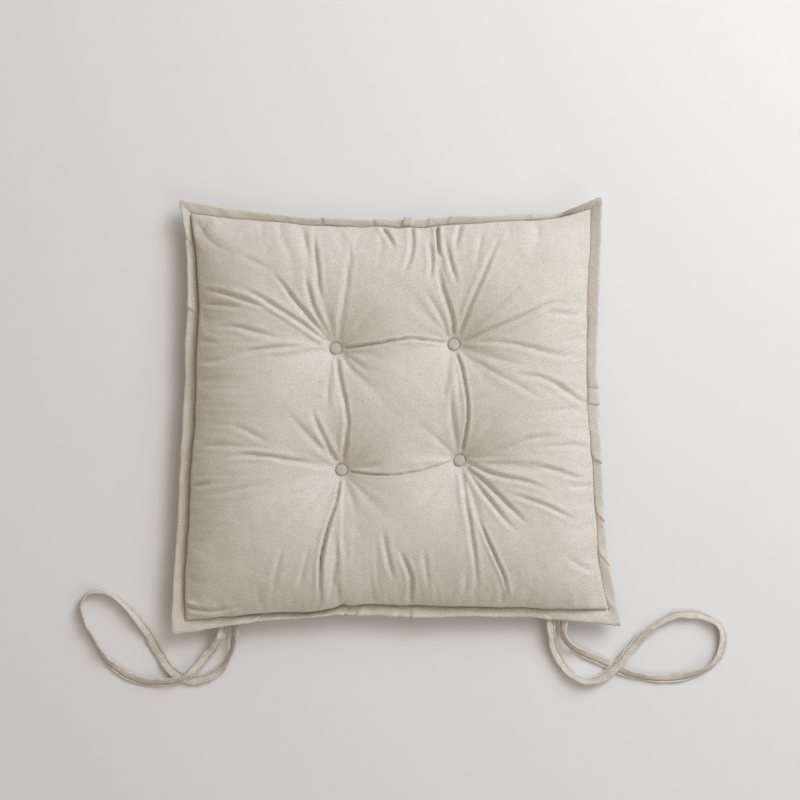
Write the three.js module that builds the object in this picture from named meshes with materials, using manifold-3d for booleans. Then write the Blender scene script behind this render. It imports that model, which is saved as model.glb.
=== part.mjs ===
// A square tufted chair seat pad: two fabric panels sewn together inside a flat flange, a fibre filling,
// four tufts, each a pair of covered buttons drawn together by a loop of twine, and two tie loops of
// folded strap sewn under the flange of the rear edge.
//
// Units are millimetres and +Z is up. The origin is the centre of the pad's outline, on the surface that
// the pad lies on. +Y points to the front edge of the seat, and the tie loops leave the rear edge, at -Y,
// where they go round the posts of the chair's back.

import * as THREE from "three";
import { mergeVertices } from "three/addons/utils/BufferGeometryUtils.js";
import Module from "manifold-3d";

const wasm = await Module();
wasm.setup();

// ---- Driving dimensions ----

const GAP = 0.3; // clearance between pieces that touch on the real pad

// Outline of the flange: its four corners, and how far the middle of each side is drawn in.
const CORNER = {
  frontLeft: [-200, 198],
  frontRight: [190, 202.3],
  rearRight: [208.3, -195],
  rearLeft: [-208.3, -202.3],
};
const DRAWN_IN = { front: 18, rear: 13, left: 7, right: 11 };
const HALF_SIDE = 200; // half of the pad's nominal side, which u = 1 and v = 1 stand for
const FLANGE = 10.5; // width of the flange outside its seam
const SEAM_U = 1 - FLANGE / HALF_SIDE;

// Heights
const FABRIC = 1; // thickness of one panel
const FLANGE_Z = 14; // the plane between the two panels in the flange
const CROWN_Z = 54; // highest point of the upper panel
const UPPER_TUFT_Z = 26; // where an upper button rests
const LOWER_TUFT_Z = 11; // where a lower button rests
const SAG = 6; // how far the filling would push the lower panel below the surface that it rests on
const UPPER_ROLL = 70; // distance from the seam over which the upper panel rises to full height
const LOWER_ROLL = 60;

// Tufts: their places, and the flat seat and the slope around each of them
const TUFT = {
  frontLeft: [-55.8, 61.8],
  frontRight: [53.2, 65.6],
  rearLeft: [-50.3, -50.2],
  rearRight: [58.5, -41.3],
};
const TUFT_UV = 0.275; // u and v of a tuft, before it is moved to its own place
const SEAT_RADIUS = 9.6;
const TUFT_SLOPE = 24; // distance over which the dip around a tuft fades
const TUFT_HOLE_RADIUS = 2.4;

// Covered button, in its own frame: z = 0 is the panel that it rests on
const BUTTON_RADIUS = 5.5;
const BUTTON_HEIGHT = 4.2;
const COVER = 0.6; // thickness of the button's fabric
const CAP = 0.45; // thickness of the metal cap under it
const RIM_Z = 1.7; // height of the widest point
const TUCK = 0.3; // how far the cover and the cap turn in below their rims
const CAP_Z = 1; // height of the cap's foot
const BACK_RADIUS = 3.4;
const BACK_THICKNESS = 0.7;
const EYE_RADIUS = 1.5; // of the wire eye, to the middle of the wire
const WIRE_RADIUS = 0.4;
const EYE_Z = -0.35;
const BUTTON_SIDES = 12;
const DOME_STEPS = 2;

// Twine and threads
const TWINE = 0.8;
const THREAD = 0.7;
const THREAD_OUTSIDE_SEAM = 1.3;
const RING_STEPS = 14;

// Tie loops
const STRAP_WIDTH = 9;
const STRAP_THICKNESS = 2;
const STRAP_CHAMFER = 0.6;
const STRAP_STEPS = 50;
const TACK = [20, 3, 0.8];

// ---- Materials ----

const material = (name, color, roughness, metalness = 0) =>
  new THREE.MeshStandardMaterial({ name, color, roughness, metalness });

const coverFabric = material("cover_fabric", 0xd3cabc, 0.92);
const strapFabric = material("strap_fabric", 0xd0c6b7, 0.94);
const thread = material("thread", 0xa9a08f, 0.85);
const fibre = material("fibre", 0xf0efea, 1);
const aluminium = material("aluminium", 0xc4c6c9, 0.4, 1);
const steel = material("steel", 0xb2b4b6, 0.35, 1);

// ---- Helpers ----

// A geometry as a manifold-3d solid.
function solidOf(geometry) {
  const bare = geometry.clone();
  for (const name of Object.keys(bare.attributes)) if (name !== "position") bare.deleteAttribute(name);
  const merged = mergeVertices(bare, 1e-4);
  return new wasm.Manifold(
    new wasm.Mesh({
      numProp: 3,
      vertProperties: merged.attributes.position.array,
      triVerts: new Uint32Array(merged.index.array),
    }),
  );
}

// A manifold-3d solid as a geometry.
function geometryOf(solid) {
  const mesh = solid.getMesh();
  const geometry = new THREE.BufferGeometry();
  const positions = new THREE.BufferAttribute(mesh.vertProperties, mesh.numProp);
  geometry.setAttribute("position", positions).setIndex(new THREE.BufferAttribute(mesh.triVerts, 1));
  geometry.computeVertexNormals();
  return geometry;
}

function named(name, geometry, look) {
  const mesh = new THREE.Mesh(geometry, look);
  mesh.name = name;
  return mesh;
}

const mix = (a, b, t) => a.map((value, i) => value + (b[i] - value) * t);
const sum = (...points) => points[0].map((_, i) => points.reduce((total, p) => total + p[i], 0));
const times = (point, k) => point.map((value) => value * k);

// ---- The pad's plan ----

// A side of the outline from corner a to corner b, drawn in by a parabola. t runs from 0 to 1.
const side = (a, b, inward, t) => sum(mix(a, b, t), times(inward, 4 * t * (1 - t)));

// The point of the plan at u, v before the tufts are moved: a Coons patch between the four sides.
function patch(u, v) {
  const s = (1 + u) / 2;
  const t = (1 + v) / 2;
  const rear = side(CORNER.rearLeft, CORNER.rearRight, [0, DRAWN_IN.rear], s);
  const front = side(CORNER.frontLeft, CORNER.frontRight, [0, -DRAWN_IN.front], s);
  const left = side(CORNER.rearLeft, CORNER.frontLeft, [DRAWN_IN.left, 0], t);
  const right = side(CORNER.rearRight, CORNER.frontRight, [-DRAWN_IN.right, 0], t);
  const rearChord = mix(CORNER.rearLeft, CORNER.rearRight, s);
  const frontChord = mix(CORNER.frontLeft, CORNER.frontRight, s);
  return sum(mix(rear, front, t), mix(left, right, s), times(mix(rearChord, frontChord, t), -1));
}

// How much of a tuft's move a point takes: all of it on the tuft's own line, none at the far lines.
const share = (u, sign) => {
  const along = u * sign;
  if (along > TUFT_UV) return (1 - along) / (1 - TUFT_UV);
  return Math.max(0, (along + TUFT_UV) / (2 * TUFT_UV));
};

const TUFT_MOVES = [
  [-1, 1, TUFT.frontLeft],
  [1, 1, TUFT.frontRight],
  [-1, -1, TUFT.rearLeft],
  [1, -1, TUFT.rearRight],
].map(([su, sv, at]) => [su, sv, sum(at, times(patch(su * TUFT_UV, sv * TUFT_UV), -1))]);

// The point of the plan at u, v, each from -1 to 1.
const place = (u, v) =>
  sum(patch(u, v), ...TUFT_MOVES.map(([su, sv, move]) => times(move, share(u, su) * share(v, sv))));

// ---- The panels' heights ----

// Height of the filled roll beside the seam, from 0 at the seam to 1 at the full distance.
function roll(u, distance) {
  const inside = Math.max(0, SEAM_U - Math.abs(u)) * HALF_SIDE;
  return Math.sqrt(1 - (1 - Math.min(1, inside / distance)) ** 2);
}

// 1 on a tuft's seat, fading to 0 away from every tuft.
function dip([x, y]) {
  const distance = Math.min(...Object.values(TUFT).map(([tx, ty]) => Math.hypot(x - tx, y - ty)));
  return Math.exp(-Math.max(0, distance - SEAT_RADIUS) / TUFT_SLOPE);
}

const UPPER_BASE = FLANGE_Z + GAP / 2 + FABRIC;
const LOWER_BASE = FLANGE_Z - GAP / 2 - FABRIC;

// The upper panel's outer surface.
function upperZ(u, v) {
  const tuftShare = (CROWN_Z - UPPER_TUFT_Z) / (CROWN_Z - UPPER_BASE);
  const filled = roll(u, UPPER_ROLL) * roll(v, UPPER_ROLL);
  return UPPER_BASE + (CROWN_Z - UPPER_BASE) * filled * (1 - tuftShare * dip(place(u, v)));
}

// The lower panel's outer surface, flat where it rests.
function lowerZ(u, v) {
  const tuftShare = (LOWER_TUFT_Z + SAG) / (LOWER_BASE + SAG);
  const filled = roll(u, LOWER_ROLL) * roll(v, LOWER_ROLL);
  return Math.max(0, LOWER_BASE - (LOWER_BASE + SAG) * filled * (1 - tuftShare * dip(place(u, v))));
}

// ---- Panels and filling ----

// Grid lines from the middle of the pad out to the flange's edge, closer together at the tufts.
const TUFT_MM = TUFT_UV * HALF_SIDE;
const HALF_LINES = [20, ...[-13, -6.5, 0, 6.5, 13].map((d) => TUFT_MM + d), 90, 125, 160, 182];
const FIELD_LINES = [...HALF_LINES.map((d) => -d).reverse(), 0, ...HALF_LINES].map((d) => d / HALF_SIDE);
const PANEL_LINES = [-1, -SEAM_U, ...FIELD_LINES, SEAM_U, 1];

// A closed solid between two height functions over a grid. Both faces split their cells along the same
// diagonals, so two solids that share a surface, moved apart by the gap, never cross.
function gridSolid(lines, upper, lower) {
  const n = lines.length;
  const points = [];
  for (const height of [upper, lower])
    for (const v of lines) for (const u of lines) points.push(...place(u, v), height(u, v));
  const top = (i, j) => j * n + i;
  const bottom = (i, j) => n * n + j * n + i;
  const faces = [];
  const quad = (a, b, c, d) => faces.push(a, b, c, a, c, d);
  for (let k = 0; k < n - 1; k++) {
    quad(bottom(k, 0), bottom(k + 1, 0), top(k + 1, 0), top(k, 0));
    quad(bottom(k + 1, n - 1), bottom(k, n - 1), top(k, n - 1), top(k + 1, n - 1));
    quad(bottom(0, k + 1), bottom(0, k), top(0, k), top(0, k + 1));
    quad(bottom(n - 1, k), bottom(n - 1, k + 1), top(n - 1, k + 1), top(n - 1, k));
    for (let j = 0; j < n - 1; j++) {
      quad(top(k, j), top(k + 1, j), top(k + 1, j + 1), top(k, j + 1));
      const [a, b, c, d] = [bottom(k, j), bottom(k + 1, j), bottom(k + 1, j + 1), bottom(k, j + 1)];
      faces.push(a, c, b, a, d, c);
    }
  }
  const geometry = new THREE.BufferGeometry();
  geometry.setAttribute("position", new THREE.Float32BufferAttribute(points, 3)).setIndex(faces);
  return geometry;
}

// The same solid with a hole for the twine at each tuft.
function pierced(geometry) {
  let solid = solidOf(geometry);
  for (const [x, y] of Object.values(TUFT)) {
    const drill = new THREE.CylinderGeometry(TUFT_HOLE_RADIUS, TUFT_HOLE_RADIUS, 3 * CROWN_Z, 10);
    drill.rotateX(Math.PI / 2).translate(x, y, 0);
    solid = solid.subtract(solidOf(drill));
  }
  return geometryOf(solid);
}

function panels() {
  const upperInside = (u, v) => upperZ(u, v) - FABRIC;
  const lowerInside = (u, v) => lowerZ(u, v) + FABRIC;
  const fillTop = (u, v) => upperInside(u, v) - GAP;
  const fillBottom = (u, v) => lowerInside(u, v) + GAP;
  return [
    named("top_panel", pierced(gridSolid(PANEL_LINES, upperZ, upperInside)), coverFabric),
    named("bottom_panel", pierced(gridSolid(PANEL_LINES, lowerInside, lowerZ)), coverFabric),
    named("fibre_filling", pierced(gridSolid(FIELD_LINES, fillTop, fillBottom)), fibre),
  ];
}

// ---- Flange stitching ----

// Points of the plan all round at one distance from the middle, from one corner to the next.
function ring(edge) {
  const steps = Array.from({ length: RING_STEPS }, (_, i) => edge * ((2 * i) / RING_STEPS - 1));
  const points = [
    ...steps.map((s) => place(s, -edge)),
    ...steps.map((s) => place(edge, s)),
    ...steps.map((s) => place(-s, edge)),
    ...steps.map((s) => place(-edge, -s)),
  ];
  return points.map(([x, y]) => new THREE.Vector2(x, y));
}

// One thread of the flange's stitching, as a thin frame from height z up.
function stitching(name, z) {
  const middle = SEAM_U + THREAD_OUTSIDE_SEAM / HALF_SIDE;
  const half = THREAD / 2 / HALF_SIDE;
  const shape = new THREE.Shape(ring(middle + half));
  shape.holes.push(new THREE.Path(ring(middle - half).reverse()));
  const geometry = new THREE.ExtrudeGeometry(shape, { depth: THREAD, bevelEnabled: false });
  return named(name, geometry.translate(0, 0, z), thread);
}

// ---- Tufts ----

// A cup-shaped piece of a button, open below: a dome with a rim that turns in a little at its foot.
function domedCup(radius, height, footZ, wall) {
  const dome = (r, top) =>
    Array.from({ length: DOME_STEPS + 1 }, (_, i) => {
      const angle = (i / DOME_STEPS) * (Math.PI / 2);
      return new THREE.Vector2(i ? r * Math.sin(angle) : 0, RIM_Z + (top - RIM_Z) * Math.cos(angle));
    });
  const foot = [radius - TUCK, radius - TUCK - wall].map((r) => new THREE.Vector2(r, footZ));
  const profile = [...dome(radius, height), ...foot, ...dome(radius - wall, height - wall).reverse()];
  return new THREE.LatheGeometry(profile.reverse(), BUTTON_SIDES).rotateX(Math.PI / 2);
}

// The button's back plate with the wire eye that the twine runs through.
function buttonBack() {
  const plate = new THREE.CylinderGeometry(BACK_RADIUS, BACK_RADIUS, BACK_THICKNESS, BUTTON_SIDES);
  plate.rotateX(Math.PI / 2).translate(0, 0, CAP_Z + BACK_THICKNESS / 2);
  const eye = new THREE.TorusGeometry(EYE_RADIUS, WIRE_RADIUS, 5, 12);
  eye.rotateX(Math.PI / 2).translate(0, 0, EYE_Z);
  return geometryOf(solidOf(plate).add(solidOf(eye)));
}

// A covered button as a group whose frame is the panel under it.
function button(name) {
  const inset = COVER + GAP;
  const cover = domedCup(BUTTON_RADIUS, BUTTON_HEIGHT, GAP, COVER);
  const cap = domedCup(BUTTON_RADIUS - inset, BUTTON_HEIGHT - inset, CAP_Z, CAP);
  const group = new THREE.Group();
  group.add(named(`button_cover_${name}`, cover, coverFabric));
  group.add(named(`button_cap_${name}`, cap, aluminium));
  group.add(named(`button_back_${name}`, buttonBack(), steel));
  return group;
}

// A loop of twine through the eyes of an upper and a lower button.
function twine(upperEyeZ, lowerEyeZ) {
  const inner = WIRE_RADIUS + GAP;
  const outline = (path, radius) => {
    path.absarc(0, upperEyeZ - EYE_RADIUS, radius, 0, Math.PI, false);
    path.absarc(0, lowerEyeZ + EYE_RADIUS, radius, Math.PI, 2 * Math.PI, false);
    path.closePath();
    return path;
  };
  const shape = outline(new THREE.Shape(), inner + TWINE);
  shape.holes.push(outline(new THREE.Path(), inner));
  const link = new THREE.ExtrudeGeometry(shape, { depth: TWINE, bevelEnabled: false, curveSegments: 6 });
  // The link is drawn in the XY plane, and stands up across the two eyes.
  return link.translate(0, 0, -TWINE / 2).rotateX(Math.PI / 2).rotateZ(Math.PI / 2);
}

function tuft(name, [x, y]) {
  const label = name.replace(/[A-Z]/, (letter) => `_${letter.toLowerCase()}`);
  const upper = button(`top_${label}`);
  upper.position.set(0, 0, UPPER_TUFT_Z);
  const lower = button(`bottom_${label}`);
  lower.position.set(0, 0, LOWER_TUFT_Z);
  lower.rotation.set(Math.PI, 0, 0);
  const cord = named(`tufting_twine_${label}`, twine(UPPER_TUFT_Z + EYE_Z, LOWER_TUFT_Z - EYE_Z), thread);
  const group = new THREE.Group();
  group.add(upper, lower, cord);
  group.position.set(x, y, 0);
  return group;
}

// ---- Tie loops ----

// A route whose frames stay level, so that a flat strap that follows it lies flat.
class LevelCurve extends THREE.CatmullRomCurve3 {
  computeFrenetFrames(segments) {
    const up = new THREE.Vector3(0, 0, 1);
    const tangents = Array.from({ length: segments + 1 }, (_, i) => this.getTangentAt(i / segments));
    const binormals = tangents.map((t) => new THREE.Vector3().crossVectors(t, up).normalize());
    const normals = tangents.map((t, i) => new THREE.Vector3().crossVectors(binormals[i], t).normalize());
    return { tangents, normals, binormals };
  }
}

// Heights of the strap's middle: sewn under the flange, on the floor, and over itself where it crosses.
const SEWN = LOWER_BASE - GAP - STRAP_THICKNESS / 2;
const LAID = STRAP_THICKNESS / 2 + 0.15; // a little above the floor, as the strap rolls in its bends
const OVER = LAID + STRAP_THICKNESS + 0.8;

const LEFT_ROUTE = [
  [-161.5, -189.8, SEWN],
  [-161.5, -197, SEWN],
  [-163, -204.5, 9.6],
  [-168, -213.5, 6.2],
  [-176.5, -224.5, 4.4],
  [-185.5, -235, OVER],
  [-194, -243, OVER],
  [-205, -247.8, OVER],
  [-219.5, -249.6, 2.4],
  [-235, -249, LAID],
  [-249, -244.4, LAID],
  [-262.5, -236.2, LAID],
  [-273.5, -225, LAID],
  [-283, -210, LAID],
  [-290.5, -194.6, LAID],
  [-294.5, -180.5, LAID],
  [-292.5, -170.5, LAID],
  [-284.5, -165.8, LAID],
  [-271, -167, LAID],
  [-255.6, -175.4, LAID],
  [-241.8, -190.5, LAID],
  [-231.9, -205.3, LAID],
  [-222.6, -221.5, LAID],
  [-212.5, -236, LAID],
  [-202.2, -244.6, LAID],
  [-190.3, -248, LAID],
  [-177.5, -245.6, LAID],
  [-165, -238, LAID],
  [-157, -227.5, 1.8],
  [-152.6, -217, 4],
  [-150.4, -206, 8.6],
  [-150.4, -196.6, SEWN],
  [-150.4, -189.6, SEWN],
];

const RIGHT_ROUTE = [
  [144.2, -183.4, SEWN],
  [144.2, -190.6, SEWN],
  [144.4, -199, 9.4],
  [146.4, -213, 5],
  [152, -227, 2.2],
  [161.4, -240.5, LAID],
  [173.6, -247.6, LAID],
  [184.4, -248, LAID],
  [195, -243.6, LAID],
  [204.6, -235.8, 2.2],
  [211.5, -228.4, OVER],
  [219, -219.5, OVER],
  [228, -208.8, 2.2],
  [237.2, -199.4, LAID],
  [249.1, -191.8, LAID],
  [262, -187, LAID],
  [276.6, -185.9, LAID],
  [290.3, -188.9, LAID],
  [300.4, -195.4, LAID],
  [305.4, -205.6, LAID],
  [304.6, -218.4, LAID],
  [298.4, -230.8, LAID],
  [285.5, -239.6, LAID],
  [267.8, -244.4, LAID],
  [249.1, -246.2, LAID],
  [232.5, -245, LAID],
  [218, -241.4, LAID],
  [204, -235.2, LAID],
  [188.4, -228.4, LAID],
  [173, -221.6, 1.6],
  [161.4, -213.6, 4.2],
  [156, -203, 8],
  [155.4, -191.4, SEWN],
  [155.4, -184.2, SEWN],
];

// The strap's section, with its thickness along x because a path's normal, which stands up here, is x.
function strapSection() {
  const [t, w, c] = [STRAP_THICKNESS / 2, STRAP_WIDTH / 2, STRAP_CHAMFER];
  const half = [
    [t, w - c],
    [t - c, w],
    [c - t, w],
    [-t, w - c],
  ];
  const corners = [...half, ...half.map(([x, y]) => [-x, -y])];
  return new THREE.Shape(corners.map(([x, y]) => new THREE.Vector2(x, y)));
}

// A tie loop, and the tack of thread that sews its two ends under the flange.
function tieLoop(name, route) {
  const curve = new LevelCurve(route.map((point) => new THREE.Vector3(...point)));
  const options = { steps: STRAP_STEPS, extrudePath: curve, bevelEnabled: false };
  const strap = new THREE.ExtrudeGeometry(strapSection(), options);
  const [start, end] = [route[0], route[route.length - 1]];
  const tack = new THREE.BoxGeometry(...TACK);
  const tackZ = SEWN - STRAP_THICKNESS / 2 - GAP - TACK[2] / 2;
  tack.translate((start[0] + end[0]) / 2, Math.min(start[1], end[1]) - TACK[1] / 2, tackZ);
  return [named(`tie_loop_${name}`, strap, strapFabric), named(`tie_tack_${name}`, tack, thread)];
}

// ---- The pad ----

const pad = new THREE.Group();
pad.add(...panels());
pad.add(stitching("flange_needle_thread", UPPER_BASE + GAP));
pad.add(stitching("flange_bobbin_thread", LOWER_BASE - GAP - THREAD));
for (const [name, at] of Object.entries(TUFT)) pad.add(tuft(name, at));
pad.add(...tieLoop("left", LEFT_ROUTE));
pad.add(...tieLoop("right", RIGHT_ROUTE));

export default pad;
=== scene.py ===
import bpy
import numpy as np
from numpy.random import default_rng
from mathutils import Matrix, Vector


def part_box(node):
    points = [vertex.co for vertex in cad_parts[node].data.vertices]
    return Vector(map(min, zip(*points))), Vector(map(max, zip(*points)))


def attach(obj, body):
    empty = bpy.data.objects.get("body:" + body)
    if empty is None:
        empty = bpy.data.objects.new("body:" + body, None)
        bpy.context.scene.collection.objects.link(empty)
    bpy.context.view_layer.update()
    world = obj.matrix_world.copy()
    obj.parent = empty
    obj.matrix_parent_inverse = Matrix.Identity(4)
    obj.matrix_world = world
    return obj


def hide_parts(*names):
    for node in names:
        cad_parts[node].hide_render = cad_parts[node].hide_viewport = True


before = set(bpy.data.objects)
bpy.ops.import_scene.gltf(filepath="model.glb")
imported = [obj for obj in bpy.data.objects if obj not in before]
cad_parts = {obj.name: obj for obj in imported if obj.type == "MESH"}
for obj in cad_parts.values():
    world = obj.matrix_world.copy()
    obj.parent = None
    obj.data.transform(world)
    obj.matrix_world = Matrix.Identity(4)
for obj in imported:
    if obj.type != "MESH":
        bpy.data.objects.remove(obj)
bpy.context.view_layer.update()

MM = 0.001

# ---- Sizes, in millimetres ----

# The flange's outer edge and its seam: corners, and how far each side is drawn in at equal steps along it.
EDGE_CORNERS = {"front_left": np.array([-201.6, 201]), "front_right": np.array([191.4, 203.7]),
                "rear_right": np.array([210.5, -196.5]), "rear_left": np.array([-209.8, -205])}
EDGE_DRAWN_IN = {
    "front": [0, 8.2, 13, 17.5, 19.4, 20.7, 19, 18.4, 15.7, 15.1, 0],
    "right": [0, 7.2, 11.5, 12, 12.9, 12.8, 12.2, 9.7, 6.5, 3, 0],
    "rear": [0, 7, 12, 14.9, 16.2, 14.2, 13.5, 11.8, 10.2, 5.3, 0],
    "left": [0, 1.5, 3.5, 5, 6.5, 7.5, 8.5, 9.1, 10.1, 7.6, 0],
}
SEAM_CORNERS = {"front_left": np.array([-190.7, 187.4]), "front_right": np.array([180.4, 192]),
                "rear_right": np.array([197.2, -180]), "rear_left": np.array([-195.3, -190.2])}
SEAM_DRAWN_IN = {
    "front": [0, 5, 8, 12, 14, 14.5, 15, 13, 10.5, 9, 0],
    "right": [0, 6.5, 7.5, 8.5, 9.5, 11, 10, 8, 6, 2, 0],
    "rear": [0, 2.5, 4.5, 5, 10, 9, 7.5, 5, 3.5, 1, 0],
    "left": [0, -1, 1, 2.5, 4, 6.5, 7, 8, 8.5, 5.5, 0],
}
# Each side: where it starts and ends, and the direction in which it is drawn in.
SIDE_ENDS = {
    "rear": ("rear_left", "rear_right", (0, 1)),
    "front": ("front_left", "front_right", (0, -1)),
    "left": ("rear_left", "front_left", (1, 0)),
    "right": ("rear_right", "front_right", (-1, 0)),
}
SPAN = 380  # between opposite seams
AT_SEAM = 0.001  # a point that is nearer to the seam than this is on it

# Heights come from the CAD pieces.
PLACES = ["front_left", "front_right", "rear_left", "rear_right"]
FLANGE_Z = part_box("top_panel")[0].z / MM - 0.15
CROWN_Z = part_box("top_panel")[1].z / MM
BUTTON_RADIUS = 5.5
BUTTON_GAP = 0.3  # between a button and its panel
WELL = 2.6  # how far the cover stands up round a button's rim


def tuft_centres(side):
    """The middle of each button on one side of the pad, with the height of the panel under it."""
    found = []
    for place in PLACES:
        low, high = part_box(f"button_cover_{side}_{place}")
        z = low.z / MM - BUTTON_GAP if side == "top" else high.z / MM + BUTTON_GAP
        found.append(((low.x + high.x) / 2 / MM, (low.y + high.y) / 2 / MM, z))
    return np.array(found)


TOP_TUFTS = tuft_centres("top")
BOTTOM_TUFTS = tuft_centres("bottom")

# ---- Number helpers ----


def spline(values, t):
    """Catmull-Rom through values, which are evenly spaced along t from 0 to 1."""
    values = np.asarray(values, float)
    last = len(values) - 1
    x = np.clip(t, 0, 1) * last
    i = np.minimum(x.astype(int), last - 1)
    f = (x - i).reshape(x.shape + (1,) * (values.ndim - 1))
    ends = [2 * values[0] - values[1]], [2 * values[-1] - values[-2]]
    p = np.concatenate([ends[0], values, ends[1]])
    a, b, c, d = p[i], p[i + 1], p[i + 2], p[i + 3]
    return b + 0.5 * f * (c - a + f * (2 * a - 5 * b + 4 * c - d + f * (3 * (b - c) + d - a)))


def resample(grid, n):
    """A grid of points or numbers, resampled to n by n."""
    t = np.linspace(0, 1, n)
    return spline(spline(grid, t).swapaxes(0, 1), t).swapaxes(0, 1)


def noise(seed, cells, n):
    """Smooth noise from about -1 to 1 on an n by n grid, with so many cells across."""
    rng = default_rng(seed)
    return resample(rng.uniform(-1, 1, (cells + 1, cells + 1)), n)


def wavy(rng, count, t):
    """A smooth random row from about -1 to 1, at places t from 0 to 1."""
    return spline(rng.uniform(-1, 1, count), t)


def smooth_step(x):
    x = np.clip(x, 0, 1)
    return x * x * (3 - 2 * x)


def faded(along, start, end):
    """From 0 up to 1 over a start, and down to 0 again over an end."""
    return smooth_step(along / start) * smooth_step((1 - along) / end)


def swell(distance, reach):
    """From 0 up to 1 at a reach, and slowly down again past it."""
    return distance / reach * np.exp(1 - distance / reach)


def bell(x, middle, width):
    return np.exp(-((x - middle) / width) ** 2)


def unit(vectors):
    return vectors / np.linalg.norm(vectors, axis=1)[:, None]


def even_path(points, step):
    """The spline through points, resampled at equal steps. Columns past the third are carried along."""
    fine = spline(points, np.linspace(0, 1, 40 * len(points)))
    run = np.concatenate([[0], np.cumsum(np.linalg.norm(np.diff(fine[:, :3], axis=0), axis=1))])
    at = np.linspace(0, run[-1], int(run[-1] / step) + 1)
    return np.column_stack([np.interp(at, run, column) for column in fine.T]), run[-1]


# ---- The pad's plan ----

SEAM_SEEDS = {"front": 51, "right": 52, "rear": 53, "left": 54}
SEAM_WAVES = 36  # on each side
WAVE_HEIGHT = 0.45
# Where the front is gathered and the rear is pinched: how far along the side, how wide and how high.
GATHER_PLACE, GATHER_WIDTH, GATHER_HEIGHT = 0.57, 0.08, 1.5
PINCH_PLACE, PINCH_WIDTH, PINCH_HEIGHT = 0.372, 0.012, 2.2
WAVE_REACH = 8  # how far into the pad the seam's waves are felt
CORNER_ROUNDS = 14  # how often the outer edge is smoothed, which rounds its corners
# How much closer together the lines of a field grid are at the seam, and how far in that reaches.
CROWDING = 0.55
CROWDING_REACH = 4


def seam_waves(name, q):
    """Small waves of a side's seam: higher where the front is gathered, and with one pinch at the rear."""
    row = default_rng(SEAM_SEEDS[name]).uniform(-1, 1, SEAM_WAVES)
    row[[0, -1]] = 0
    gather = GATHER_HEIGHT * bell(q, GATHER_PLACE, GATHER_WIDTH) if name == "front" else 0
    pinch = PINCH_HEIGHT * bell(q, PINCH_PLACE, PINCH_WIDTH) if name == "rear" else 0
    return (WAVE_HEIGHT + gather) * spline(row, q) + pinch


def side_curves(corners, drawn_in, s, t, waves=(1, 1, 1, 1)):
    """The rear and front sides at s, and the left and right sides at t, each as (..., 2)."""
    curves = []
    for (name, (start, end, inward)), q, wave in zip(SIDE_ENDS.items(), (s, s, t, t), waves):
        chord = corners[start] + (corners[end] - corners[start]) * q[..., None]
        drawn = spline(drawn_in[name], q) + wave * seam_waves(name, q)
        curves.append(chord + drawn[..., None] * np.array(inward))
    return curves


def field_steps(n):
    """Where the lines of an n by n field grid lie, from 0 to 1: evenly, but closer together by the seam."""
    q = np.linspace(0, 1, n)
    gap = np.minimum(q, 1 - q)
    drawn = CROWDING * gap * bell(gap * SPAN, 0, CROWDING_REACH)
    return q - np.where(q < 0.5, drawn, -drawn)


def field_plan(n):
    """The plan inside the seam as an n by n grid: a Coons patch between the seam's four sides."""
    q = field_steps(n)
    s, t = np.meshgrid(q, q)
    waves = [np.exp(-gap * SPAN / WAVE_REACH) for gap in (t, 1 - t, s, 1 - s)]
    rear, front, left, right = side_curves(SEAM_CORNERS, SEAM_DRAWN_IN, s, t, waves)
    s = s[..., None]
    t = t[..., None]
    rear_chord = SEAM_CORNERS["rear_left"] * (1 - s) + SEAM_CORNERS["rear_right"] * s
    front_chord = SEAM_CORNERS["front_left"] * (1 - s) + SEAM_CORNERS["front_right"] * s
    flat = rear_chord * (1 - t) + front_chord * t
    return rear * (1 - t) + front * t + left * (1 - s) + right * s - flat


def around(grid):
    """The border of a grid as one loop: rear side, right side, front side and left side."""
    return np.concatenate([grid[0, :-1], grid[:-1, -1], grid[-1, :0:-1], grid[:0:-1, 0]])


def outer_loop(cells):
    """The flange's outer edge, with as many points as the seam's loop."""
    q = np.arange(cells) / cells
    rear, _, _, right = side_curves(EDGE_CORNERS, EDGE_DRAWN_IN, q, q)
    _, front, left, _ = side_curves(EDGE_CORNERS, EDGE_DRAWN_IN, 1 - q, 1 - q)
    loop = np.concatenate([rear, right, front, left])
    for _ in range(CORNER_ROUNDS):
        loop = (np.roll(loop, 1, 0) + 2 * loop + np.roll(loop, -1, 0)) / 4
    return loop


# ---- Creases of the upper cover ----

# How deep and how wide a kind of crease is, in millimetres. One with a negative depth stands up.
BOLD, DEEP, STRONG, MIDDLE = (6.5, 1.5), (4.0, 1.3), (3.0, 1.9), (2.2, 2.1)
SOFT, BROAD, THIN, RIDGE, RISE = (1.3, 2.5), (2.0, 5.5), (2.8, 1.0), (-0.8, 1.6), (-1.3, 3.2)
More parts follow.
